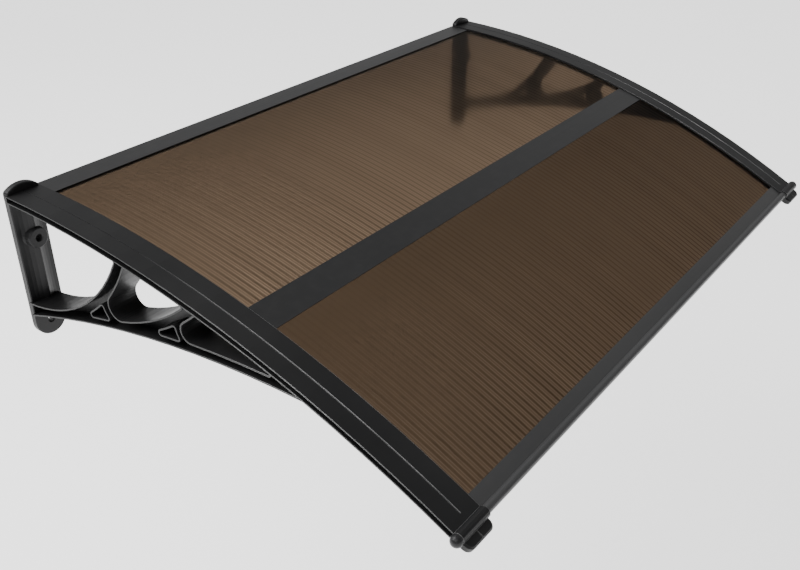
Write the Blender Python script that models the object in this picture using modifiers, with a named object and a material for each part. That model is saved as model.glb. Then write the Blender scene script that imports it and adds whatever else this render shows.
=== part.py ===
"""A door canopy: two moulded brackets carry three aluminium rails and two fluted roof sheets.

The origin is on the wall, in the middle of the rear rail's back face. +Z is up, X runs along
the wall and the canopy reaches out towards -Y. All sizes are in metres.
Side outlines are drawn as (out, up): out is the distance from the wall, up the height.
"""
import math

import bmesh
import bpy
from mathutils import Vector

# The whole canopy
SPAN = 1.200                    # over the outer faces of the two brackets
BRACKET_WIDTH = 0.055           # along the wall
ARCH_RADIUS = 1.740             # top face of the brackets
WALL_SLOPE = math.radians(1.5)  # fall of the arch where it leaves the wall
NOSE_REACH = 0.7832             # from the wall to the axis of the front nose

# The bracket's arch, which is a channel on both sides
TOP_FLANGE = 0.0016
SLOT_HEIGHT = 0.0076
LOWER_FLANGE = 0.0018
WEB = 0.0050                    # wall between the two sides
SEAM_WIDTH = 0.0014             # groove along the middle of the top face
SEAM_DEPTH = 0.0007
SEAM_END = 0.008                # from the groove's end to the nose's wall

# The bracket's lower arm and its two bowls, each a band between two circles
ARM_WIDTH = 0.047               # along the wall; narrower than the arch on the inner side
RIM = 0.0024                    # thickness of the flange round every opening
ARM_CENTRE = (0.5120, -1.7459)
ARM_RADIUS = 1.6326
ARM_HEIGHT = 0.0152
ARM_TIP = (0.560, -0.115)       # roughly where the arm runs into the arch
BOWLS = (                       # corner: where its far side turns down into the next opening
    {"centre": (-0.0053, 0.1050), "radius": 0.2749, "band": 0.0181, "corner": 0.0185,
     "pocket": 0.0162, "pocket_wall": 0.0155},
    {"centre": (0.1367, 0.2188), "radius": 0.3528, "band": 0.0185, "corner": 0.0145,
     "pocket": 0.0164, "pocket_wall": 0.0120},
)
POCKET_FLOOR = 0.0129           # from the arm's underside up to a pocket
POCKET_CORNER = 0.0030
STRUT_CORNER = 0.0020           # where a bowl's end meets the arch
TIP_CORNER = 0.0015             # the thin tip of the last opening

# The bracket's wall plate
PLATE_WIDTH = 0.052
PLATE_DEPTH = 0.0117
PLATE_EDGE = 0.0012             # rounding of its edges
PLATE_DROP = 0.2400             # from the arch's top at the wall to the plate's tip
LIP_RISE = 0.0120               # of the lip's crown over the arch
LIP_RADIUS = 0.0425
LIP_CORNER = 0.0070
RIDGE_REACH = 0.0212            # crest of the rib down the middle of the plate
RIDGE_CREST = 0.0024
RIDGE_FOOT = 0.0235             # from the middle to the foot of the rib's hollow flank
BOSS_DROP = 0.0713
BOSS_RADIUS = 0.0156
BOSS_REACH = 0.0265
BOSS_FILLET = 0.0050
WALL_HOLE = 0.0050              # radius, for an 8 mm wall anchor
COUNTERSINK = 0.0013
LOWER_HOLE_DROP = 0.2150

# The bracket's front end
SOCKET_WALL = 0.0017
LUG_WIDTH = 0.053
LUG_REACH = 0.0205              # past the nose's axis, along the slope
LUG_TOP = 0.0017                # below the arch's top
LUG_BOTTOM = 0.0138
LUG_CORNER = 0.0100
LUG_EDGE = 0.0022

# The roof sheets
SHEET_THICKNESS = 0.0042
SHEET_SKIN = 0.0005
SHEET_ENTRY = 0.0125            # how far each side runs in under the bracket's flange
FLUTE_PITCH = 0.0112
FLUTE_RIB = 0.0006
SHEET_SPANS = 3                 # straight lengths between two rails

# The rails
RAIL_CLEARANCE = 0.0005         # under the bracket's top flange
RAIL_WALL = 0.0008
CHANNEL = 0.0050                # inside height
RAIL_ENTRY = 0.0230             # how far each end runs into the bracket's slot
REAR_RAIL_WIDTH = 0.0438
REAR_RAIL_FOOT = 0.0410
REAR_RAIL_BACK = 0.0014
STRIP_REACH = 0.4448            # from the wall to the joining strip's middle
STRIP_WIDTH = 0.0496
STRIP_FOOT = 0.0400
STRIP_WEB = 0.0020
FRONT_RAIL_WIDTH = 0.0272       # from its rear edge to the bead's axis, along the slope
FRONT_RAIL_STOP = 0.0078        # from the bead's axis back to the wall that stops the sheet
BEAD_DROP = 0.0012              # of the bead's axis below the arch's top
BEAD_RADIUS = 0.0062
BEAD_BORE = 0.0048

# Small parts
SEAL_THICKNESS = 0.0009
SEAL_WIDTH = 0.0140
SEAL_SHOWS = 0.0018             # what of a seal stands out past the bracket's flange
PLUG_BALL = 0.0086
PLUG_OFFSET = 0.0030            # the ball's centre lies this far outside the bracket
PLUG_STEM = 0.0200
SCREW_RADIUS = 0.0019
SCREW_HEAD = 0.0038
SCREW_HEAD_HEIGHT = 0.0021
SCREW_LENGTH = 0.0072
SCREW_INSET = 0.0178            # from the bracket's inner edge to a screw's axis
REAR_SCREWS = (0.0021, 0.0131)  # along the slope from the rail's middle
MIDDLE_SCREWS = (-0.0110, 0.0110)

# Fits and facets
GAP = 0.0003
SCREW_FIT = 0.0003
BEAD_FIT = 0.0003
CHORD_ERROR = 0.00018           # how far a facet may lie from its true arc
OVERCUT = 0.010
NOTCH_REACH = 0.020             # above and below the rear rail's middle

# What follows from those sizes
RAIL_DROP = TOP_FLANGE + RAIL_CLEARANCE
RAIL_HEIGHT = CHANNEL + 2 * RAIL_WALL
ARCH_DEPTH = TOP_FLANGE + SLOT_HEIGHT + LOWER_FLANGE
SHEET_DROP = RAIL_DROP + RAIL_WALL + GAP
TOP_Z = RAIL_DROP + RAIL_HEIGHT / 2
BRACKET_X = (SPAN - BRACKET_WIDTH) / 2
INNER_X = BRACKET_X - BRACKET_WIDTH / 2
ARCH_BACK = ARCH_RADIUS * math.sin(WALL_SLOPE)
ARCH_CENTRE = (-ARCH_BACK, TOP_Z - ARCH_RADIUS * math.cos(WALL_SLOPE))
UNDER_RADIUS = ARCH_RADIUS - ARCH_DEPTH
NOSE_RADIUS = BEAD_RADIUS + BEAD_FIT + SOCKET_WALL
SIDE_VIEW = (math.pi / 2, 0.0, -math.pi / 2)    # turns (out, up) into the YZ plane
FRONT_VIEW = (math.pi / 2, 0.0, 0.0)            # turns (across, up) into the XZ plane


# The scene, collections and materials

def clear_scene():
    for old in list(bpy.data.objects):
        bpy.data.objects.remove(old, do_unlink=True)


def new_collection(name):
    collection = bpy.data.collections.new(name)
    bpy.context.scene.collection.children.link(collection)
    return collection


def new_material(name, colour, roughness, metallic=0.0, alpha=1.0):
    material = bpy.data.materials.new(name)
    material.use_nodes = True
    shader = material.node_tree.nodes["Principled BSDF"]
    shader.inputs["Base Color"].default_value = (*colour, 1.0)
    shader.inputs["Roughness"].default_value = roughness
    shader.inputs["Metallic"].default_value = metallic
    shader.inputs["Alpha"].default_value = alpha
    return material


clear_scene()
CANOPY = new_collection("door_canopy")
CUTTERS = new_collection("cutters")
PLASTIC = new_material("black_moulded_plastic", (0.028, 0.028, 0.030), 0.42)
ALUMINIUM = new_material("black_coated_aluminium", (0.040, 0.040, 0.042), 0.34, 0.35)
SHEET = new_material("bronze_polycarbonate", (0.110, 0.065, 0.035), 0.18, 0.0, 0.72)
RUBBER = new_material("black_rubber", (0.015, 0.015, 0.015), 0.75)
STEEL = new_material("zinc_plated_steel", (0.560, 0.560, 0.580), 0.30, 1.0)


# Points on the arch, arcs and outlines

def arch_angle(reach):
    """The arch's fall, and its angle about its centre, at a distance from the wall."""
    return math.asin((reach + ARCH_BACK) / ARCH_RADIUS)


def arch_polar(angle, depth):
    radius = ARCH_RADIUS - depth
    return (ARCH_CENTRE[0] + radius * math.sin(angle), ARCH_CENTRE[1] + radius * math.cos(angle))


def on_slope(reach, along, depth):
    """A point measured along and below the arch's tangent at the given reach."""
    angle = arch_angle(reach)
    out, up = arch_polar(angle, depth)
    return (out + along * math.cos(angle), up - along * math.sin(angle))


def steps_for(radius, sweep):
    """Facets for an arc, so that none lies further from it than the chord error."""
    facet = 2 * math.acos(max(1 - CHORD_ERROR / radius, 0.5))
    return max(2, math.ceil(abs(sweep) / facet))


def arc(centre, radius, start, end):
    """Points on a circle, the short way round from one angle to another."""
    sweep = (end - start + math.pi) % (2 * math.pi) - math.pi
    count = steps_for(radius, sweep)
    angles = [start + sweep * k / count for k in range(count + 1)]
    return [(centre[0] + radius * math.cos(a), centre[1] + radius * math.sin(a)) for a in angles]


def angle_to(centre, point):
    return math.atan2(point[1] - centre[1], point[0] - centre[0])


def circles_meet(first, first_radius, second, second_radius, near):
    """The crossing of two circles that lies nearest to a point."""
    offset = Vector(second) - Vector(first)
    length = offset.length
    run = (first_radius ** 2 - second_radius ** 2 + length ** 2) / (2 * length)
    rise = math.sqrt(first_radius ** 2 - run ** 2)
    along = offset / length
    foot = Vector(first) + along * run
    side = Vector((-along.y, along.x)) * rise
    return min((foot + side, foot - side), key=lambda p: (p - Vector(near)).length)


def hollow(walls, grow=0.0):
    """A closed outline between circles, with rounded corners.

    Each wall is (centre, radius, inside, corner, near): inside is true where the hollow lies
    within the circle, corner rounds its meeting with the next wall, and near lies close to
    that meeting. The outline can be grown evenly on all sides."""
    corners = []
    for k, (centre, radius, inside, corner, near) in enumerate(walls):
        other, other_radius, other_inside = walls[(k + 1) % len(walls)][:3]
        reach = radius - corner if inside else radius + corner
        other_reach = other_radius - corner if other_inside else other_radius + corner
        corners.append(circles_meet(centre, reach, other, other_reach, near))
    points = []
    for k, (centre, radius, inside, corner, near) in enumerate(walls):
        start = angle_to(centre, corners[k - 1])
        end = angle_to(centre, corners[k])
        points += arc(centre, radius + grow if inside else radius - grow, start, end)
        other, _, other_inside = walls[(k + 1) % len(walls)][:3]
        turn = end if inside else end + math.pi
        other_turn = angle_to(other, corners[k]) + (0.0 if other_inside else math.pi)
        points += arc(corners[k], corner + grow, turn, other_turn)[1:-1]
    return points


def evenly(start, end, spans):
    return [start + (end - start) * k / spans for k in range(spans + 1)]


def arc_strip(angles, top, bottom):
    """A band of the arch over a row of angles, between two depths."""
    upper = [arch_polar(a, top) for a in angles]
    lower = [arch_polar(a, bottom) for a in reversed(angles)]
    return upper + lower


# Solids

def add_object(name, mesh, material=None, collection=None):
    obj = bpy.data.objects.new(name, mesh)
    (collection or CANOPY).objects.link(obj)
    if material:
        mesh.materials.clear()
        mesh.materials.append(material)
    return obj


def as_cutter(obj):
    for collection in obj.users_collection:
        collection.objects.unlink(obj)
    CUTTERS.objects.link(obj)
    obj.hide_render = True
    obj.display_type = 'WIRE'
    return obj


def outline_solid(name, loops, thickness, rotation=SIDE_VIEW, edge=0.0):
    """A flat outline, drawn as a filled curve and thickened evenly on both sides."""
    curve = bpy.data.curves.new(name, 'CURVE')
    curve.dimensions = '2D'
    curve.fill_mode = 'BOTH'
    curve.extrude = thickness / 2 - edge
    curve.bevel_depth = edge
    curve.bevel_resolution = 0
    curve.offset = -edge
    for loop in loops:
        spline = curve.splines.new('POLY')
        spline.points.add(len(loop) - 1)
        spline.use_cyclic_u = True
        for point, (across, up) in zip(spline.points, loop):
            point.co = (across, up, 0.0, 1.0)
    drawn = bpy.data.objects.new(name, curve)
    CANOPY.objects.link(drawn)
    drawn.rotation_euler = rotation
    return curve_to_mesh(drawn)


def curve_to_mesh(drawn):
    """The same shape as a mesh with its caps joined on, in place of the curve."""
    name = drawn.name
    bpy.context.view_layer.update()
    evaluated = drawn.evaluated_get(bpy.context.evaluated_depsgraph_get())
    mesh = bpy.data.meshes.new_from_object(evaluated)
    shape = bmesh.new()
    shape.from_mesh(mesh)
    bmesh.ops.remove_doubles(shape, verts=shape.verts, dist=0.00001)
    bmesh.ops.dissolve_limit(shape, angle_limit=0.001, verts=shape.verts, edges=shape.edges)
    bmesh.ops.recalc_face_normals(shape, faces=shape.faces)
    shape.to_mesh(mesh)
    shape.free()
    matrix = drawn.matrix_world.copy()
    curve = drawn.data
    bpy.data.objects.remove(drawn)
    bpy.data.curves.remove(curve)
    mesh.name = name
    solid = add_object(name, mesh)
    solid.matrix_world = matrix
    return solid


def cylinder(name, radius, length, location, rotation=(0.0, 0.0, 0.0), sides=None):
    shape = bmesh.new()
    count = sides or steps_for(radius, 2 * math.pi)
    bmesh.ops.create_cone(shape, cap_ends=True, segments=count, radius1=radius,
                          radius2=radius, depth=length)
    mesh = bpy.data.meshes.new(name)
    shape.to_mesh(mesh)
    shape.free()
    obj = add_object(name, mesh)
    obj.location = location
    obj.rotation_euler = rotation
    return obj


def box(name, low, high):
    shape = bmesh.new()
    bmesh.ops.create_cube(shape, size=1.0)
    size = [h - l for l, h in zip(low, high)]
    bmesh.ops.scale(shape, vec=size, verts=shape.verts)
    mesh = bpy.data.meshes.new(name)
    shape.to_mesh(mesh)
    shape.free()
    obj = add_object(name, mesh)
    obj.location = [(l + h) / 2 for l, h in zip(low, high)]
    return obj


def turned(name, profile, steps):
    """A profile of (radius, height) points, from top to bottom, turned about Z."""
    mesh = bpy.data.meshes.new(name)
    points = [(radius, 0.0, height) for radius, height in profile]
    mesh.from_pydata(points, [(k, k + 1) for k in range(len(points) - 1)], [])
    obj = add_object(name, mesh)
    screw = obj.modifiers.new("turn", 'SCREW')
    screw.steps = steps
    screw.render_steps = steps
    screw.use_merge_vertices = True
    screw.merge_threshold = 0.00001
    return obj


def combine(target, operation, *others):
    for other in others:
        boolean = target.modifiers.new(other.name, 'BOOLEAN')
        boolean.operation = operation
        boolean.object = as_cutter(other)
    return target


def finish(obj, name, material, smooth_angle=30.0):
    """Names a finished piece, gives it its material and shades its round faces smooth."""
    obj.name = name
    obj.data.name = name
    obj.data.materials.clear()
    obj.data.materials.append(material)
    obj.data.shade_smooth()
    obj.data.set_sharp_from_angle(angle=math.radians(smooth_angle))
    return obj


# The moulded bracket

def arch_outline():
    """The arch by itself, from inside the wall plate to inside the nose."""
    start = arch_angle(PLATE_DEPTH / 2)
    end = arch_angle(NOSE_REACH - NOSE_RADIUS / 2)
    return arc_strip(evenly(start, end, steps_for(ARCH_RADIUS, end - start)), 0.0, ARCH_DEPTH)


def arm_outline():
    """The arm below the arch, with its upper edge hidden inside the arch's lower flange."""
    hidden = UNDER_RADIUS + LOWER_FLANGE / 2
    root = 0.6 * PLATE_DEPTH
    tip = circles_meet(ARCH_CENTRE, hidden, ARM_CENTRE, ARM_RADIUS, ARM_TIP)
    wall_up = ARM_CENTRE[1] + math.sqrt(ARM_RADIUS ** 2 - (ARM_CENTRE[0] - root) ** 2)
    top = arc(ARCH_CENTRE, hidden, math.pi / 2 - arch_angle(root), angle_to(ARCH_CENTRE, tip))
    return top + arc(ARM_CENTRE, ARM_RADIUS, angle_to(ARM_CENTRE, tip),
                     angle_to(ARM_CENTRE, (root, wall_up)))[1:]


def bowl_corner_centre(bowl, following):
    """Middle of the round corner between a bowl's far side and the next bowl, or the arm."""
    centre, radius, inside = following
    reach = radius - bowl["corner"] if inside else radius + bowl["corner"]
    far_side = bowl["radius"] + bowl["band"] + bowl["corner"]
    return circles_meet(bowl["centre"], far_side, centre, reach,
                        (bowl["centre"][0] + 0.75 * bowl["radius"], -0.1))


def bracket_openings(grow=0.0):
    """The three large openings and the two pockets, grown evenly where a rim is wanted."""
    first, second = BOWLS
    arm_top = (ARM_CENTRE, ARM_RADIUS + ARM_HEIGHT, False)
    loops = []
    under = (ARCH_CENTRE, UNDER_RADIUS, True)
    loops.append(hollow([
        (*under, STRUT_CORNER, (0.24, -0.03)),
        (first["centre"], first["radius"], True, STRUT_CORNER, (-0.20, -0.03)),
    ], grow))
    loops.append(hollow([
        (*under, STRUT_CORNER, (0.26, -0.03)),
        (first["centre"], first["radius"] + first["band"], False, first["corner"],
         (0.21, -0.11)),
        (second["centre"], second["radius"], True, STRUT_CORNER, (0.37, -0.06)),
    ], grow))
    loops.append(hollow([
        (*under, STRUT_CORNER, (0.39, -0.06)),
        (second["centre"], second["radius"] + second["band"], False, second["corner"],
         (0.36, -0.09)),
        (*arm_top, TIP_CORNER, (0.51, -0.10)),
    ], grow))
    followings = ((second["centre"], second["radius"], True), arm_top)
    for bowl, following in zip(BOWLS, followings):
        corner = bowl_corner_centre(bowl, following)
        left = bowl["centre"][0] + 0.55 * bowl["radius"]
        loops.append(hollow([
            (bowl["centre"], bowl["radius"] + bowl["pocket"], False, POCKET_CORNER,
             (corner.x - 0.02, corner.y)),
            (tuple(corner), bowl["corner"] + bowl["pocket_wall"], False, POCKET_CORNER,
             (corner.x - 0.03, corner.y - 0.03)),
            (ARM_CENTRE, ARM_RADIUS + POCKET_FLOOR, False, POCKET_CORNER,
             (left, corner.y - 0.03)),
        ], grow))
    return loops


def recess_cutter(name, centre_x):
    """What is taken out between the rims on one side of the web."""
    floor = ARM_RADIUS + RIM
    tip = circles_meet(ARCH_CENTRE, UNDER_RADIUS, ARM_CENTRE, floor, ARM_TIP)
    quarter = math.pi / 2
    wall_up = ARM_CENTRE[1] + math.sqrt(floor ** 2 - ARM_CENTRE[0] ** 2)
    top = arc(ARCH_CENTRE, UNDER_RADIUS, quarter - WALL_SLOPE, angle_to(ARCH_CENTRE, tip))
    bottom = arc(ARM_CENTRE, floor, angle_to(ARM_CENTRE, tip), angle_to(ARM_CENTRE, (0.0, wall_up)))
    depth = BRACKET_WIDTH / 2 - WEB / 2 + OVERCUT
    recess = outline_solid(name, [top + bottom[1:]], depth)
    rims = outline_solid(name + "_rims", bracket_openings(RIM), depth + OVERCUT)
    for obj in (recess, rims):
        obj.location.x = centre_x
    return combine(recess, 'DIFFERENCE', rims)


def wall_plate(name):
    """The flat plate with its rounded foot and the low crown of its lip."""
    half = PLATE_WIDTH / 2
    crown = (0.0, TOP_Z + LIP_RISE - LIP_RADIUS)
    corner_x = half - LIP_CORNER
    corner_up = crown[1] + math.sqrt((LIP_RADIUS - LIP_CORNER) ** 2 - corner_x ** 2)
    shoulder = angle_to(crown, (corner_x, corner_up))
    foot = (0.0, TOP_Z - PLATE_DROP + half)
    outline = arc((corner_x, corner_up), LIP_CORNER, 0.0, shoulder)
    outline += arc(crown, LIP_RADIUS, shoulder, math.pi - shoulder)[1:-1]
    outline += arc((-corner_x, corner_up), LIP_CORNER, math.pi - shoulder, math.pi)
    outline += arc(foot, half, math.pi, 1.5 * math.pi)
    outline += arc(foot, half, -math.pi / 2, 0.0)[1:]
    plate = outline_solid(name, [outline], PLATE_DEPTH, FRONT_VIEW, PLATE_EDGE)
    plate.location.y = -PLATE_DEPTH / 2
    return plate


def plate_ridge(name):
    """The rib down the middle of the plate, with a hollow flank on each side."""
    first = BOWLS[0]
    top = TOP_Z - TOP_FLANGE - SLOT_HEIGHT - LOWER_FLANGE / 2
    bottom = first["centre"][1] - first["radius"] - RIM / 2
    run = RIDGE_FOOT - RIDGE_CREST / 2
    rise = RIDGE_REACH - PLATE_DEPTH
    flank = [(RIDGE_CREST / 2 + run * k / 4, PLATE_DEPTH + rise * (1 - k / 4) ** 2)
             for k in range(5)]
    root = PLATE_DEPTH / 2
    right = flank + [(RIDGE_FOOT, root)]
    left = [(-across, out) for across, out in reversed(right)]
    outline = [(across, -out) for across, out in right + left]
    ridge = outline_solid(name, [outline], top - bottom, (0.0, 0.0, 0.0))
    ridge.location.z = (top + bottom) / 2
    return ridge


def wall_boss(name):
    """The upper boss for the wall screw, with a broad fillet at its root."""
    front = BOSS_REACH
    root = PLATE_DEPTH / 2
    fillet = [(BOSS_RADIUS + BOSS_FILLET * (1 - math.sin(t)),
               PLATE_DEPTH + BOSS_FILLET * (1 - math.cos(t)))
              for t in (math.pi / 2, math.pi / 3, math.pi / 6, 0.0)]
    profile = [(0.0, front), (BOSS_RADIUS - PLATE_EDGE, front), (BOSS_RADIUS, front - PLATE_EDGE)]
    profile += fillet + [(BOSS_RADIUS + BOSS_FILLET, root), (0.0, root)]
    boss = turned(name, profile, 24)
    boss.rotation_euler = (math.pi / 2, 0.0, 0.0)
    boss.location.z = TOP_Z - BOSS_DROP
    return boss


def wall_hole(name, front, drop):
    """A screw hole through the plate, countersunk at its front face."""
    above = front + COUNTERSINK
    profile = [(0.0, above), (WALL_HOLE + 2 * COUNTERSINK, above),
               (WALL_HOLE, front - COUNTERSINK), (WALL_HOLE, -OVERCUT), (0.0, -OVERCUT)]
    hole = turned(name, profile, 20)
    hole.rotation_euler = (math.pi / 2, 0.0, 0.0)
    hole.location.z = TOP_Z - drop
    return hole


def front_lug(name):
    """The rounded tongue that closes the arch below the nose."""
    half = LUG_WIDTH / 2
    inner = half - LUG_CORNER
    tip = LUG_REACH - LUG_CORNER
    outline = [(-half, -LUG_REACH / 2)]
    outline += [(half, -LUG_REACH / 2)]
    outline += arc((inner, tip), LUG_CORNER, 0.0, math.pi / 2)
    outline += arc((-inner, tip), LUG_CORNER, math.pi / 2, math.pi)
    flipped = [(across, -along) for across, along in reversed(outline)]
    angle = arch_angle(NOSE_REACH)
    lug = outline_solid(name, [flipped], LUG_BOTTOM - LUG_TOP, (angle, 0.0, 0.0), LUG_EDGE)
    out, up = on_slope(NOSE_REACH, 0.0, (LUG_TOP + LUG_BOTTOM) / 2)
    lug.location = (0.0, -out, up)
    return lug


def nose_point():
    """The axis that the nose's socket, the bead and the end plug share."""
    return on_slope(NOSE_REACH, 0.0, BEAD_DROP)


def side_slot(name, centre_x, depth):
    """The open channel along one side of the arch, ending in the nose's socket."""
    start = arch_angle(PLATE_DEPTH - PLATE_EDGE)
    end = arch_angle(NOSE_REACH - BEAD_RADIUS / 2)
    angles = evenly(start, end, steps_for(ARCH_RADIUS, end - start))
    strip = arc_strip(angles, TOP_FLANGE, TOP_FLANGE + SLOT_HEIGHT)
    slot = outline_solid(name, [strip], depth)
    slot.location.x = centre_x
    out, up = nose_point()
    bore = cylinder(name + "_socket", BEAD_RADIUS + BEAD_FIT, depth, (centre_x, -out, up),
                    (0.0, math.pi / 2, 0.0))
    return slot, bore


def seam_cutters(name):
    """The fine groove along the middle of the arch's top and over the lug."""
    end = arch_angle(NOSE_REACH - NOSE_RADIUS - SEAM_END)
    start = arch_angle(PLATE_DEPTH)
    angles = evenly(start, end, steps_for(ARCH_RADIUS, end - start))
    top = outline_solid(name, [arc_strip(angles, -OVERCUT, SEAM_DEPTH)], SEAM_WIDTH)
    over = LUG_REACH + OVERCUT
    under = LUG_TOP + SEAM_DEPTH
    corners = [(NOSE_RADIUS, under), (over, under), (over, -OVERCUT), (NOSE_RADIUS, -OVERCUT)]
    lug = outline_solid(name + "_lug", [[on_slope(NOSE_REACH, a, d) for a, d in corners]],
                        SEAM_WIDTH)
    return top, lug


def screw_stations():
    """Every screw's rail, its reach, and its place along the slope from there."""
    stations = [("rear", REAR_RAIL_WIDTH / 2, along) for along in REAR_SCREWS]
    stations += [("middle", STRIP_REACH, along) for along in MIDDLE_SCREWS]
    stations += [("front", NOSE_REACH, -(FRONT_RAIL_WIDTH + FRONT_RAIL_STOP) / 2)]
    return stations


def bracket(side, name):
    """One moulded bracket, made about the middle of its own width and then moved out."""
    body = outline_solid(name, [arm_outline()], ARM_WIDTH)
    body.location.x = side * (BRACKET_WIDTH - ARM_WIDTH) / 2
    combine(body, 'DIFFERENCE', outline_solid(name + "_openings", bracket_openings(),
                                              BRACKET_WIDTH + 2 * OVERCUT))
    depth = BRACKET_WIDTH / 2 - WEB / 2 + OVERCUT
    offset = WEB / 2 + depth / 2
    for label, sign in (("a", 1), ("b", -1)):
        combine(body, 'DIFFERENCE', recess_cutter(name + "_recess_" + label, sign * offset))
    out, up = nose_point()
    nose = cylinder(name + "_nose", NOSE_RADIUS, BRACKET_WIDTH, (0.0, -out, up),
                    (0.0, math.pi / 2, 0.0))
    combine(body, 'UNION', outline_solid(name + "_arch", [arch_outline()], BRACKET_WIDTH))
    combine(body, 'UNION', wall_plate(name + "_plate"), plate_ridge(name + "_ridge"),
            wall_boss(name + "_boss"), nose, front_lug(name + "_lug"))
    for label, sign in (("a", 1), ("b", -1)):
        combine(body, 'DIFFERENCE', *side_slot(name + "_slot_" + label, sign * offset, depth))
    combine(body, 'DIFFERENCE', *seam_cutters(name + "_seam"))
    combine(body, 'DIFFERENCE', wall_hole(name + "_upper_hole", BOSS_REACH, BOSS_DROP),
            wall_hole(name + "_lower_hole", PLATE_DEPTH, LOWER_HOLE_DROP))
    across = BRACKET_WIDTH / 2 - SCREW_INSET
    for rail, reach, along in screw_stations():
        out, up = on_slope(reach, along, ARCH_DEPTH - LOWER_FLANGE / 2)
        hole = cylinder(name + "_hole_" + rail, SCREW_RADIUS + SCREW_FIT, 2 * LOWER_FLANGE,
                        (-side * across, -out, up), (arch_angle(reach), 0.0, 0.0), 12)
        combine(body, 'DIFFERENCE', hole)
    parts = [body] + [m.object for m in body.modifiers]
    for cutter in list(parts):
        parts += [m.object for m in cutter.modifiers if m.type == 'BOOLEAN' and cutter != body]
    for obj in dict.fromkeys(parts):
        obj.location.x += side * BRACKET_X
    return finish(body, name, PLASTIC)


# The rails

def rail_holes(rail, name):
    """Holes in the rail's foot for the screws that come up through the brackets."""
    for side in (-1, 1):
        x = side * (INNER_X + SCREW_INSET)
        for where, reach, along in screw_stations():
            if where == name:
                out, up = on_slope(reach, along, RAIL_DROP + RAIL_HEIGHT - RAIL_WALL / 2)
                hole = cylinder(rail.name + "_hole", SCREW_RADIUS + SCREW_FIT, 3 * RAIL_WALL,
                                (x, -out, up), (arch_angle(reach), 0.0, 0.0), 12)
                combine(rail, 'DIFFERENCE', hole)


RAIL_LENGTH = 2 * (INNER_X + RAIL_ENTRY)


def rear_rail():
    """The rail along the wall: a box section with a lip above and below the sheet."""
    middle = REAR_RAIL_WIDTH / 2
    top, bottom = RAIL_DROP, RAIL_DROP + RAIL_HEIGHT
    stop = PLATE_DEPTH + GAP + REAR_RAIL_BACK

    def at(out, depth):
        return (out, on_slope(middle, 0.0, depth)[1] - (out - middle) * math.tan(arch_angle(middle)))

    roof, floor = top + RAIL_WALL, bottom - RAIL_WALL
    outer = [at(0.0, top), at(REAR_RAIL_WIDTH, top), at(REAR_RAIL_WIDTH, roof), at(stop, roof),
             at(stop, floor), at(REAR_RAIL_FOOT, floor), at(REAR_RAIL_FOOT, bottom),
             at(0.0, bottom)]
    inner = [at(REAR_RAIL_BACK, roof), at(stop - REAR_RAIL_BACK, roof),
             at(stop - REAR_RAIL_BACK, floor), at(REAR_RAIL_BACK, floor)]
    rail = outline_solid("rear_rail", [outer, inner], RAIL_LENGTH)
    for label, side in (("left", -1), ("right", 1)):
        low, high = sorted((side * (INNER_X - GAP), side * (RAIL_LENGTH / 2 + OVERCUT)))
        notch = box("rear_rail_notch_" + label, (low, -(PLATE_DEPTH + GAP), -NOTCH_REACH),
                    (high, OVERCUT, NOTCH_REACH))
        combine(rail, 'DIFFERENCE', notch)
    rail_holes(rail, "rear")
    return finish(rail, "rear_rail", ALUMINIUM)


def joining_strip():
    """The H section that holds the meeting edges of the two sheets."""
    top, bottom = RAIL_DROP, RAIL_DROP + RAIL_HEIGHT
    roof, floor = top + RAIL_WALL, bottom - RAIL_WALL
    half, foot, web = STRIP_WIDTH / 2, STRIP_FOOT / 2, STRIP_WEB / 2
    right = [(half, top), (half, roof), (web, roof), (web, floor), (foot, floor), (foot, bottom)]
    left = [(-along, depth) for along, depth in reversed(right)]
    outline = [on_slope(STRIP_REACH, along, depth) for along, depth in right + left]
    strip = outline_solid("joining_strip", [outline], RAIL_LENGTH)
    rail_holes(strip, "middle")
    return finish(strip, "joining_strip", ALUMINIUM)


def front_rail():
    """The front channel, with a hollow round bead along its nose."""
    top, bottom = RAIL_DROP, RAIL_DROP + RAIL_HEIGHT
    roof, floor = top + RAIL_WALL, bottom - RAIL_WALL
    stop = -FRONT_RAIL_STOP
    face = stop + RAIL_WALL
    section = [(-FRONT_RAIL_WIDTH, top), (-BEAD_BORE - RAIL_WALL / 2, top),
               (-BEAD_BORE - RAIL_WALL / 2, roof + RAIL_WALL), (face, roof + RAIL_WALL),
               (face, bottom), (-FRONT_RAIL_WIDTH, bottom), (-FRONT_RAIL_WIDTH, floor),
               (stop, floor), (stop, roof), (-FRONT_RAIL_WIDTH, roof)]
    outline = [on_slope(NOSE_REACH, along, depth) for along, depth in section]
    rail = outline_solid("front_rail", [outline], RAIL_LENGTH)
    out, up = nose_point()
    across = (0.0, math.pi / 2, 0.0)
    bead = cylinder("front_rail_bead", BEAD_RADIUS, RAIL_LENGTH, (0.0, -out, up), across, 24)
    bore = cylinder("front_rail_bore", BEAD_BORE, RAIL_LENGTH + OVERCUT, (0.0, -out, up),
                    across, 16)
    combine(rail, 'UNION', bead)
    combine(rail, 'DIFFERENCE', bore)
    rail_holes(rail, "front")
    return finish(rail, "front_rail", ALUMINIUM)


# The roof sheets

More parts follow.
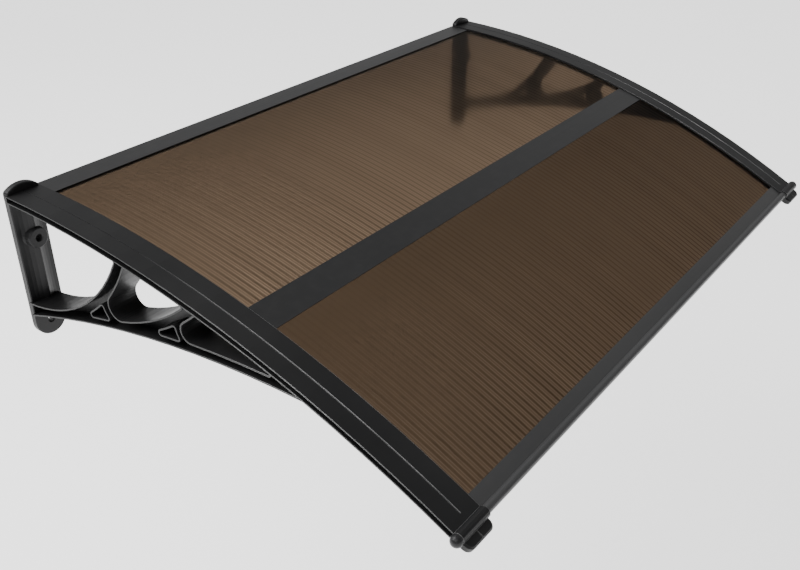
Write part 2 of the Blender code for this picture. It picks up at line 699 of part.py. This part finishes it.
def roof_sheet(name, angles):
    """A twin-wall sheet bent to the arch, with flutes that run from the wall to the front."""
    width = 2 * (INNER_X + SHEET_ENTRY)
    bottom = SHEET_DROP + SHEET_THICKNESS
    sheet = outline_solid(name, [arc_strip(angles, SHEET_DROP, bottom)], width)
    strip = arc_strip(angles, SHEET_DROP + SHEET_SKIN, bottom - SHEET_SKIN)
    half = len(angles)
    for corner, neighbour in ((0, 1), (half - 1, half - 2), (half, half + 1), (-1, -2)):
        tip = Vector(strip[corner])
        strip[corner] = tuple(tip + (tip - Vector(strip[neighbour])).normalized() * OVERCUT)
    flutes = outline_solid(name + "_flutes", [strip], FLUTE_PITCH - FLUTE_RIB)
    count = int((width - 2 * FLUTE_RIB) / FLUTE_PITCH)
    row = flutes.modifiers.new("row", 'ARRAY')
    row.count = count
    row.use_relative_offset = False
    row.use_constant_offset = True
    row.constant_offset_displace = (0.0, 0.0, FLUTE_PITCH)
    flutes.location.x = FLUTE_PITCH * (count - 1) / 2
    combine(sheet, 'DIFFERENCE', flutes)
    return finish(sheet, name, SHEET, 20.0)


def sheet_angles(start, first_edge, last_edge, end):
    """Where a sheet bends: straight inside the rails that grip it, curved between them."""
    return [start] + evenly(first_edge, last_edge, SHEET_SPANS) + [end]


# Seals, plugs and screws

def side_seal(side, name, angles):
    """The flat strip between a sheet's side and the bracket's flange above it."""
    top = SHEET_DROP - GAP - SEAL_THICKNESS
    seal = outline_solid(name, [arc_strip(angles, top, top + SEAL_THICKNESS)], SEAL_WIDTH)
    seal.location.x = side * (INNER_X - SEAL_SHOWS + SEAL_WIDTH / 2)
    return finish(seal, name, RUBBER)


def end_plug(side, name):
    """The ball-headed plug that closes the outer side of the nose's socket."""
    face = -PLUG_OFFSET + GAP
    flat = math.acos(face / PLUG_BALL)
    ball = [(PLUG_BALL * math.sin(t), PLUG_BALL * math.cos(t))
            for t in (flat * k / 8 for k in range(9))]
    stem = BEAD_RADIUS
    profile = ball + [(stem, face), (stem, face - PLUG_STEM), (0.0, face - PLUG_STEM)]
    plug = turned(name, profile, 24)
    out, up = nose_point()
    plug.location = (side * (SPAN / 2 + PLUG_OFFSET), -out, up)
    plug.rotation_euler = (0.0, side * math.pi / 2, 0.0)
    return finish(plug, name, PLASTIC)


def rail_screw(side, name, reach, along):
    """A pan-head screw that comes up through the bracket into the rail's foot."""
    head = SCREW_HEAD_HEIGHT
    profile = [(0.0, SCREW_LENGTH), (0.5 * SCREW_RADIUS, SCREW_LENGTH),
               (SCREW_RADIUS, SCREW_LENGTH - SCREW_RADIUS), (SCREW_RADIUS, 0.0),
               (SCREW_HEAD, 0.0), (SCREW_HEAD, -0.5 * head), (0.6 * SCREW_HEAD, -head),
               (0.0, -head)]
    screw = turned(name, profile, 12)
    out, up = on_slope(reach, along, ARCH_DEPTH + GAP)
    screw.location = (side * (INNER_X + SCREW_INSET), -out, up)
    screw.rotation_euler = (arch_angle(reach), 0.0, 0.0)
    return finish(screw, name, STEEL)


# The canopy, put together

strip_middle = arch_angle(STRIP_REACH)
past_web = (STRIP_WEB / 2 + GAP) / ARCH_RADIUS
past_strip = (STRIP_WIDTH / 2 + GAP) / ARCH_RADIUS
nose_angle = arch_angle(NOSE_REACH)
rear_angles = sheet_angles(arch_angle(PLATE_DEPTH + REAR_RAIL_BACK + 2 * GAP),
                           arch_angle(REAR_RAIL_WIDTH + GAP),
                           strip_middle - past_strip, strip_middle - past_web)
front_angles = sheet_angles(strip_middle + past_web, strip_middle + past_strip,
                            nose_angle - (FRONT_RAIL_WIDTH + GAP) / ARCH_RADIUS,
                            nose_angle - (FRONT_RAIL_STOP + GAP) / ARCH_RADIUS)
roof_sheet("rear_sheet", rear_angles)
roof_sheet("front_sheet", front_angles)
rear_rail()
joining_strip()
front_rail()

for word, sign in (("left", -1), ("right", 1)):
    bracket(sign, "bracket_" + word)
    end_plug(sign, "end_plug_" + word)
    side_seal(sign, "rear_side_seal_" + word, rear_angles[1:-1])
    side_seal(sign, "front_side_seal_" + word, front_angles[1:-1])
    placed = {"rear": 0, "middle": 0, "front": 0}
    for place, station, shift in screw_stations():
        placed[place] += 1
        rail_screw(sign, "%s_screw_%s_%d" % (place, word, placed[place]), station, shift)
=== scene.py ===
"""A door canopy of two black brackets, three black rails and two fluted bronze roof sheets.

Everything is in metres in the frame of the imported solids: the wall is the plane y = 0, the
canopy reaches towards -Y, X runs along the wall and Z is up.
"""
import math

import bpy
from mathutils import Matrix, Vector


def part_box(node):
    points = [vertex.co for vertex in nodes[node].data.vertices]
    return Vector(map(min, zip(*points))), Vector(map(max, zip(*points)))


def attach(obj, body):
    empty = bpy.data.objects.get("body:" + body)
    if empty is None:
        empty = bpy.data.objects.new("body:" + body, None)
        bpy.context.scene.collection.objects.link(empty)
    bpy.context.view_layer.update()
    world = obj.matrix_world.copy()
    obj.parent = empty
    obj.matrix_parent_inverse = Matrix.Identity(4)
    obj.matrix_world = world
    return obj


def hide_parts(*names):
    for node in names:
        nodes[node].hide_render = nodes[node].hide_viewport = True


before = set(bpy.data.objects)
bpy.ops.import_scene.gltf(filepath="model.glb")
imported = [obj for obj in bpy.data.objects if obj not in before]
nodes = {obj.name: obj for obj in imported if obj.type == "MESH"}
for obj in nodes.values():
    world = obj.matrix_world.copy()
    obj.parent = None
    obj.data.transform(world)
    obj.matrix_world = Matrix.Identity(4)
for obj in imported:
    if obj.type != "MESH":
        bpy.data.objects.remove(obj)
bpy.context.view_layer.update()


# The two brackets are single mouldings in black nylon, arch, arm and wall plate in one. The
# tool's surface is spark eroded, which leaves a fine satin grain, and every edge of the
# moulding is slightly rounded. Screws through the plate hold them to the wall.

class Shade:
    """A socket of a node tree. Sums written with it add the nodes that they need."""

    def __init__(self, tree, socket=None):
        self.tree = tree
        self.socket = socket

    def node(self, kind, settings=None, inputs=None, out=0):
        """Any node: its type, its settings, its sockets' values or links, and an output."""
        made = self.tree.nodes.new("ShaderNode" + kind)
        for name, value in (settings or {}).items():
            setattr(made, name, value)
        for name, value in (inputs or {}).items():
            if isinstance(value, Shade):
                self.tree.links.new(value.socket, made.inputs[name])
            else:
                made.inputs[name].default_value = value
        return Shade(self.tree, made.outputs[out])

    def maths(self, operation, *values):
        return self.node("Math", {"operation": operation}, dict(enumerate(values)))

    def __add__(self, other):
        return self.maths("ADD", self, other)

    def __radd__(self, other):
        return self.maths("ADD", other, self)

    def __sub__(self, other):
        return self.maths("SUBTRACT", self, other)

    def __rsub__(self, other):
        return self.maths("SUBTRACT", other, self)

    def __mul__(self, other):
        return self.maths("MULTIPLY", self, other)

    def __rmul__(self, other):
        return self.maths("MULTIPLY", other, self)

    def __truediv__(self, other):
        return self.maths("DIVIDE", self, other)

    def range(self, low, high, to_low=0.0, to_high=1.0):
        """Spreads low..high over to_low..to_high and stops at both ends."""
        return self.node("MapRange", None, {"Value": self, "From Min": low, "From Max": high,
                                            "To Min": to_low, "To Max": to_high})

    def colours(self, first, second):
        """A colour between two, by this value."""
        return self.node("Mix", {"data_type": 'RGBA'}, {0: self, 6: first, 7: second}, 2)

    def places(self, stretch=(1.0, 1.0, 1.0)):
        """The piece's own coordinates in metres, stretched along each axis."""
        own = self.node("TexCoord", out=3)
        return own.node("VectorMath", {"operation": 'MULTIPLY'}, {0: own, 1: stretch})

    def noise(self, scale, detail=2.0, stretch=(1.0, 1.0, 1.0)):
        return self.node("TexNoise", None, {"Vector": self.places(stretch), "Scale": scale,
                                            "Detail": detail})

    def axis(self, name):
        """One coordinate of the piece, in metres."""
        own = self.node("TexCoord", out=3)
        return own.node("SeparateXYZ", None, {0: own}, "XYZ".index(name))

    def facing_up(self):
        """1 on level upper faces, 0 on upright and lower ones."""
        normal = self.node("NewGeometry", out=1)
        return normal.node("SeparateXYZ", None, {0: normal}, 2).range(0.0, 1.0)

    def rounded(self, radius):
        """The surface's direction, with edges rounded off by the given radius."""
        return self.node("Bevel", {"samples": 8}, {"Radius": radius})

    def edges(self, radius):
        """1 on an edge, falling to 0 about the given distance away from it."""
        flat = self.node("NewGeometry", out=1)
        bent = self.rounded(radius)
        alike = bent.node("VectorMath", {"operation": 'DOT_PRODUCT'}, {0: bent, 1: flat}, 1)
        return (1.0 - alike).range(0.02, 0.20)


def new_finish(name, constants):
    """A material with its shader's constants set, and a first shade to write its sums from."""
    material = bpy.data.materials.new(name)
    material.use_nodes = True
    shader = material.node_tree.nodes["Principled BSDF"]
    for socket, value in constants.items():
        shader.inputs[socket].default_value = value
    return material, Shade(material.node_tree)


def feed(material, links):
    """Links shades to the shader's own sockets."""
    shader = material.node_tree.nodes["Principled BSDF"]
    for name, value in links.items():
        material.node_tree.links.new(value.socket, shader.inputs[name])


SHARP_EDGE = math.radians(24.0)     # an edge that turns more than this stays crisp


def dress(names, material):
    """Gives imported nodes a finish, and shades their round faces smooth."""
    for name in names:
        mesh = nodes[name].data
        mesh.materials.clear()
        mesh.materials.append(material)
        mesh.shade_smooth()
        mesh.set_sharp_from_angle(angle=SHARP_EDGE)


def moulded_plastic(name, deep, pale, low_roughness, high_roughness):
    """Satin black nylon: a spark-eroded grain, slow clouding, dust, and faintly worn edges, which
    are painted bright near the nose as a painted highlight."""
    material, start = new_finish(name, {"Specular IOR Level": 0.26})
    clouds = start.noise(7.0, 4.0)
    grain = start.noise(1500.0, 2.0)
    flow = start.noise(16.0, 3.0, (1.0, 0.25, 1.0))
    dust = start.facing_up() * clouds.range(0.42, 0.75) * (0.35 + 0.65 * grain)
    # Painted highlight: the edges are painted almost white near the front and top, and only faintly
    # paler elsewhere, as wear.
    edge_wear_and_highlight = start.edges(0.0009) * clouds.range(0.25, 0.6, 0.55, 1.0)
    nose_highlight_zone = start.axis("Y").range(-0.62, -0.25, 1.0, 0.0) * start.axis("Z").range(-0.30, -0.05)
    colour = clouds.range(0.3, 0.7).colours((*deep, 1.0), (*pale, 1.0))
    dusty = (dust * 0.05).colours(colour, (0.10, 0.098, 0.095, 1.0))
    edge_colour_and_highlight = nose_highlight_zone.colours((0.022, 0.022, 0.022, 1.0), (0.95, 0.95, 0.95, 1.0))
    colour_with_edge_wear_and_highlight = (edge_wear_and_highlight * (0.45 + 0.55 * nose_highlight_zone)).colours(dusty, edge_colour_and_highlight)
    roughness = flow.range(0.3, 0.7, low_roughness, high_roughness) + dust * 0.08 + edge_wear_and_highlight * 0.30
    bump = start.node("Bump", None, {"Strength": 0.18, "Distance": 0.00010, "Height": grain,
                                     "Normal": start.rounded(0.0004)})
    feed(material, {"Base Color": colour_with_edge_wear_and_highlight, "Roughness": roughness, "Normal": bump})
    return material


nylon = moulded_plastic("black_nylon", (0.0080, 0.0080, 0.0084), (0.0125, 0.0125, 0.0129),
                        0.36, 0.46)
dress(["bracket_left", "bracket_right"], nylon)


# The three rails are aluminium extrusions: one along the wall, an H section where the two
# sheets meet, and a channel with a hollow bead at the front. They are powder coated satin
# black, with a soft orange peel over faint lines of the die. The joining strip's coat is painted
# darker, as painted shade, and the front rail's paler, as painted light.

def powder_coat(name, deep, pale):
    """Satin powder coat: orange peel, lines along the extrusion, dust, and paler edges,
    partly wear and partly a painted highlight.
    """
    material, start = new_finish(name, {"Specular IOR Level": 0.40})
    peel = start.noise(650.0, 2.0)
    die_lines = start.noise(520.0, 2.0, (0.004, 1.0, 1.0))
    clouds = start.noise(5.0, 3.0, (0.4, 1.0, 1.0))
    dust = start.facing_up() * start.noise(60.0, 4.0).range(0.45, 0.8)
    edge_wear_and_highlight = start.edges(0.0007) * clouds.range(0.25, 0.6, 0.5, 1.0)
    colour = clouds.range(0.3, 0.7).colours((*deep, 1.0), (*pale, 1.0))
    dusty = (dust * 0.05).colours(colour, (0.12, 0.115, 0.11, 1.0))
    # Paler edges: partly wear and partly a painted highlight.
    colour_with_edge_wear_and_highlight = (edge_wear_and_highlight * 0.4).colours(dusty, (0.07, 0.07, 0.07, 1.0))
    roughness = clouds.range(0.3, 0.7, 0.30, 0.38) + die_lines.range(0.3, 0.7, 0.0, 0.05)
    height = 0.7 * peel + 0.3 * die_lines
    bump = start.node("Bump", None, {"Strength": 0.12, "Distance": 0.00008, "Height": height,
                                     "Normal": start.rounded(0.0006)})
    feed(material, {"Base Color": colour_with_edge_wear_and_highlight, "Roughness": roughness, "Normal": bump})
    return material


coated = powder_coat("black_powder_coat", (0.0125, 0.0125, 0.0130), (0.0170, 0.0170, 0.0175))
dress(["rear_rail"], coated)
# Painted shade: the joining strip's coat is painted darker than the rear rail's.
strip_coat_painted_darker = powder_coat("strip_powder_coat", (0.0085, 0.0085, 0.0090), (0.0120, 0.0120, 0.0125))
dress(["joining_strip"], strip_coat_painted_darker)
# Painted light: the front rail's coat is painted paler than the rear rail's.
front_coat_painted_paler = powder_coat("front_powder_coat", (0.0400, 0.0400, 0.0405), (0.0500, 0.0500, 0.0505))
dress(["front_rail"], front_coat_painted_paler)


# The two roof sheets are twin-wall polycarbonate, extruded in bronze and bent cold over the
# brackets. Two thin skins are joined by ribs about 11 mm apart, which run down the slope.
# Each sheet is drawn here as a smooth bend, with every rib and both skins as real walls.

ARCH_RADIUS = 1.740             # of the brackets' top face
WALL_SLOPE = math.radians(1.5)  # fall of the arch where it leaves the wall
ARCH_CENTRE = (-0.045548, 0.0054 - ARCH_RADIUS * math.cos(WALL_SLOPE))    # reach, height
SHEET_DROP = 0.0032             # from the arch down to the upper skin
SHEET_THICKNESS = 0.0042
SKIN = 0.0005
RIB = 0.0006
FLUTE_PITCH = 0.0112
STATION = 0.009                 # between two steps of the bend
REAR_EDGE = 0.0137              # how far out from the wall the rear sheet starts
STRIP_REACH = 0.4448            # the joining strip's middle
STRIP_WEB = 0.0026              # between the two sheets
NOSE_REACH = 0.7832             # the axis of the brackets' nose
NOSE_ROOM = 0.0081              # from the front sheet's edge to that axis


def arch_point(angle, drop):
    """Y and Z of a point below the arch."""
    radius = ARCH_RADIUS - drop
    return (-(ARCH_CENTRE[0] + radius * math.sin(angle)), ARCH_CENTRE[1] + radius * math.cos(angle))


def arch_angle(reach):
    """The angle at which the arch is so far out from the wall."""
    return math.asin((reach - ARCH_CENTRE[0]) / ARCH_RADIUS)


def fluted_sheet(name, node, start, end):
    """A bent sheet between two angles of the arch, as wide as the node that it stands for."""
    low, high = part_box(node)
    half = (high.x - low.x) / 2
    count = int((2 * half - 2 * RIB) / FLUTE_PITCH)
    across = [-half]
    for k in range(count):
        middle = FLUTE_PITCH * (k - (count - 1) / 2)
        across += [middle - (FLUTE_PITCH - RIB) / 2, middle + (FLUTE_PITCH - RIB) / 2]
    across.append(half)
    drops = [SHEET_DROP, SHEET_DROP + SKIN, SHEET_DROP + SHEET_THICKNESS - SKIN,
             SHEET_DROP + SHEET_THICKNESS]
    steps = math.ceil((end - start) * ARCH_RADIUS / STATION)
    tall = len(drops)
    row = len(across) * tall
    points = []
    for k in range(steps + 1):
        angle = start + (end - start) * k / steps
        for x in across:
            points += [(x, *arch_point(angle, drop)) for drop in drops]
    top = []
    bottom = []                 # and the sides and ends
    walls = []
    for k in range(steps):
        here, there = k * row, (k + 1) * row
        for column in range(len(across) - 1):
            a, b = tall * column, tall * (column + 1)
            top.append((here + a, there + a, there + b, here + b))
            bottom.append((here + a + 3, here + b + 3, there + b + 3, there + a + 3))
            if column % 2:
                walls.append((here + a + 1, here + b + 1, there + b + 1, there + a + 1))
                walls.append((here + a + 2, there + a + 2, there + b + 2, here + b + 2))
                walls.append((here + a + 1, there + a + 1, there + a + 2, here + a + 2))
                walls.append((here + b + 1, here + b + 2, there + b + 2, there + b + 1))
        last = row - tall
        bottom.append((here, here + 3, there + 3, there))
        bottom.append((here + last, there + last, there + last + 3, here + last + 3))
    for end_row, turn in ((0, 1), (steps * row, -1)):
        for column in range(len(across) - 1):
            a, b = end_row + tall * column, end_row + tall * (column + 1)
            levels = (0, 2) if column % 2 else (0, 1, 2)
            for level in levels:
                bottom.append((a + level, b + level, b + level + 1, a + level + 1)[::turn])
    mesh = bpy.data.meshes.new(name)
    mesh.from_pydata(points, [], top + bottom + walls)
    finishes = [0] * len(top) + [1] * len(bottom) + [2] * len(walls)
    mesh.polygons.foreach_set("material_index", finishes)
    mesh.shade_smooth()
    mesh.set_sharp_from_angle(angle=SHARP_EDGE)
    sheet = bpy.data.objects.new(name, mesh)
    bpy.context.scene.collection.objects.link(sheet)
    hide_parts(node)
    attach(sheet, "root")
    return sheet


def bronze_polycarbonate(name, deep, pale, haze, faint=-0.1, clear=-0.4, depth=0.0):
    """Clear bronze plastic with a haze, painted paler further down the slope as painted light.
    Over each rib the skin is painted with a soft dark line of painted shade and a thin pale
    painted glint beside it, faint at one place down the slope and at the near side, clear at
    the other place and at the far side. A depth of 0 leaves the lines out."""
    material, start = new_finish(name, {"IOR": 1.06, "Transmission Weight": 0.96})
    clouds = start.noise(2.6, 2.0, (1.0, 0.6, 1.0))
    streaks = start.noise(90.0, 2.0, (1.0, 0.015, 0.015))
    # Painted light: the skin's colour is painted paler further down the slope.
    down = start.axis("Y").range(clear, faint, 1.0, 0.0)
    tone = 0.40 * clouds + 0.15 * streaks + 0.45 * down
    colour = tone.range(0.20, 0.80).colours((*deep, 1.0), (*pale, 1.0))
    if depth:
        flute = start.axis("X") / FLUTE_PITCH + 0.5 * (FLUTES % 2)
        from_rib = flute.maths("PINGPONG", flute, 0.5)
        per_flute = start.noise(30.0, 1.0, (1.0, 0.05, 0.05)).range(0.35, 0.65)
        patches = start.noise(4.5, 1.0).range(0.35, 0.65, 0.55, 1.0)
        far_side = start.axis("X").range(-0.40, 0.20, 0.18, 0.95)
        reach = down.maths("MAXIMUM", down, far_side) * patches
        # Painted shade and painted glint: over each rib a dark line, and beside it a thin pale
        # glint.
        rib = from_rib.range(0.04, 0.26, 1.0, 0.0)
        shoulder = from_rib.range(0.22, 0.30) * from_rib.range(0.30, 0.40, 1.0, 0.0)
        glint = shoulder * down * patches * (0.45 + 0.55 * per_flute)
        with_painted_glints = glint.colours(colour, (*(2.8 * c for c in pale), 1.0))
        colour = (rib * reach * depth * (1.0 - 0.3 * per_flute)).colours(
            with_painted_glints, (*(0.12 * c for c in deep), 1.0))
    feed(material, {"Base Color": colour, "Roughness": clouds.range(0.3, 0.7, haze, haze + 0.01)})
    return material


STRIP_ANGLE = arch_angle(STRIP_REACH)
PAST_WEB = STRIP_WEB / 2 / ARCH_RADIUS
rear = fluted_sheet("rear_fluted_sheet", "rear_sheet", arch_angle(REAR_EDGE),
                    STRIP_ANGLE - PAST_WEB)
front = fluted_sheet("front_fluted_sheet", "front_sheet", STRIP_ANGLE + PAST_WEB,
                     arch_angle(NOSE_REACH) - NOSE_ROOM / ARCH_RADIUS)
FLUTES = int((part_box("rear_sheet")[1].x - RIB) / (FLUTE_PITCH / 2))
SKIN_HAZE = 0.276               # roughness of the weathered upper skins
CLEAR_HAZE = 0.02
underside = bronze_polycarbonate("bronze_underside", (0.068, 0.047, 0.031),
                                 (0.076, 0.053, 0.035), CLEAR_HAZE)
flute_walls = bronze_polycarbonate("bronze_flute_walls", (0.84, 0.81, 0.78),
                                   (0.88, 0.85, 0.82), CLEAR_HAZE)
rear_skin = bronze_polycarbonate("rear_bronze_skin", (0.058, 0.0425, 0.0295),
                                 (0.118, 0.089, 0.064), SKIN_HAZE, -0.08, -0.42, 0.75)
# Painted shade: the front skin is the same bronze as the rear one, painted darker.
front_skin_painted_darker = bronze_polycarbonate("front_bronze_skin", (0.029, 0.0205, 0.0135),
                                  (0.039, 0.028, 0.0195), SKIN_HAZE, -0.50, -0.76, 0.85)
for sheet, skin in ((rear, rear_skin), (front, front_skin_painted_darker)):
    for finish in (skin, underside, flute_walls):
        sheet.data.materials.append(finish)


# Four strips of black rubber lie between the sheets' sides and the brackets. They are cut
# from extruded strip, and only their edge shows along the bracket.

def rubber(name):
    """Dull black rubber: a fine grain and slow clouding."""
    material, start = new_finish(name, {"Specular IOR Level": 0.35})
    grain = start.noise(900.0, 3.0)
    clouds = start.noise(14.0, 3.0)
    colour = clouds.colours((0.010, 0.010, 0.010, 1.0), (0.024, 0.023, 0.022, 1.0))
    bump = start.node("Bump", None, {"Strength": 0.3, "Distance": 0.00015, "Height": grain})
    feed(material, {"Base Color": colour, "Roughness": clouds.range(0.3, 0.7, 0.55, 0.75),
                    "Normal": bump})
    return material


strip_rubber = rubber("black_rubber")
dress([end + "_side_seal_" + side for end in ("rear", "front") for side in ("left", "right")],
      strip_rubber)


# A ball-headed plug closes the outer side of each bracket's nose. It is moulded in the same
# black nylon from a polished tool, so it is smoother than the bracket round it. Its colour is
# painted paler than the bracket's, as painted light.

# Painted light: the plug's nylon is painted paler than the bracket's.
polished_nylon_painted_paler = moulded_plastic("polished_black_nylon", (0.016, 0.016, 0.017),
                                 (0.022, 0.022, 0.023), 0.24, 0.32)
dress(["end_plug_left", "end_plug_right"], polished_nylon_painted_paler)


# Five zinc-plated pan-head screws come up through each bracket's lower flange into the
# rails. The plating is bright with a slight yellow cast, scuffed where a driver has turned.

def zinc_plate(name):
    """Bright zinc plating with slow clouding and scuffs."""
    material, start = new_finish(name, {"Metallic": 1.0})
    clouds = start.noise(300.0, 3.0)
    scuffs = start.noise(1400.0, 3.0, (1.0, 0.2, 1.0))
    colour = clouds.colours((0.42, 0.42, 0.43, 1.0), (0.62, 0.61, 0.58, 1.0))
    bump = start.node("Bump", None, {"Strength": 0.2, "Distance": 0.00005, "Height": scuffs})
    feed(material, {"Base Color": colour, "Roughness": scuffs.range(0.3, 0.7, 0.25, 0.42),
                    "Normal": bump})
    return material


plated = zinc_plate("zinc_plate")
dress([name for name in nodes if "_screw_" in name], plated)


# The stage: a plain pale floor well below the canopy, and soft light from all round. The sky
# glows softly at the far side, and two broad lamps stand above the canopy, one behind it and
# one to its left.

def studio_floor(name, height, reach):
    """A level square floor that glows a little, so that it stays pale in shadow."""
    mesh = bpy.data.meshes.new(name)
    corners = [(-reach, -reach), (reach, -reach), (reach, reach), (-reach, reach)]
    mesh.from_pydata([(x, y, height) for x, y in corners], [], [(0, 1, 2, 3)])
    floor = bpy.data.objects.new(name, mesh)
    bpy.context.scene.collection.objects.link(floor)
    material, start = new_finish("pale_floor", {"Roughness": 0.9, "Specular IOR Level": 0.1,
                                                "Emission Strength": 1.7})
    shade = start.noise(0.8, 2.0).colours((0.90, 0.90, 0.90, 1.0), (0.93, 0.93, 0.93, 1.0))
    feed(material, {"Base Color": shade, "Emission Color": shade})
    mesh.materials.append(material)
    return floor


studio_floor("studio_floor", -1.1, 12.0)

world = bpy.data.worlds.new("studio")
bpy.context.scene.world = world
world.use_nodes = True
sky = Shade(world.node_tree)
towards_glow = sky.node("VectorMath", {"operation": 'DOT_PRODUCT'},
                        {0: sky.node("TexCoord"), 1: (0.80, 0.22, 0.56)}, 1)
glow = towards_glow.range(0.45, 1.0).colours((0.23, 0.23, 0.23, 1.0), (0.55, 0.55, 0.55, 1.0))
backdrop = world.node_tree.nodes["Background"]
world.node_tree.links.new(glow.socket, backdrop.inputs["Color"])
backdrop.inputs["Strength"].default_value = 1.0


def soft_lamp(name, place, target, size, power):
    """A square lamp at one place that points at another, in metres and watts."""
    data = bpy.data.lights.new(name, 'AREA')
    data.shape = 'SQUARE'
    data.size = size
    data.energy = power
    lamp = bpy.data.objects.new(name, data)
    bpy.context.scene.collection.objects.link(lamp)
    lamp.location = place
    direction = [t - p for t, p in zip(target, place)]
    level = math.hypot(direction[0], direction[1])
    lamp.rotation_euler = (math.atan2(level, -direction[2]), 0.0,
                           math.atan2(direction[1], direction[0]) - math.pi / 2)
    return lamp


soft_lamp("rear_lamp", (-1.8, 1.6, 2.6), (0.0, -0.4, 0.0), 3.4, 185.0)
soft_lamp("side_lamp", (-2.5, -1.0, 1.9), (0.0, -0.5, -0.1), 2.0, 26.0)


# The camera stands to the left of the canopy and above it, as the photograph's did. Its place
# and its focal length were fitted to the canopy's outlines in the photograph.

IMAGE_WIDTH = 800
IMAGE_HEIGHT = 570
FOCAL_PIXELS = 952.5
PRINCIPAL_POINT = (409.2, 299.8)

camera_data = bpy.data.cameras.new("camera")
camera_data.sensor_width = 36.0
camera_data.lens = FOCAL_PIXELS / IMAGE_WIDTH * camera_data.sensor_width
camera_data.shift_x = (IMAGE_WIDTH / 2 - PRINCIPAL_POINT[0]) / IMAGE_WIDTH
camera_data.shift_y = (PRINCIPAL_POINT[1] - IMAGE_HEIGHT / 2) / IMAGE_WIDTH
camera_data.clip_start = 0.01
camera = bpy.data.objects.new("camera", camera_data)
bpy.context.scene.collection.objects.link(camera)
camera.location = (-1.26123, -1.19617, 0.56330)
camera.rotation_euler = (math.radians(90.0 - 30.535), 0.0, math.radians(-53.956))
bpy.context.scene.camera = camera
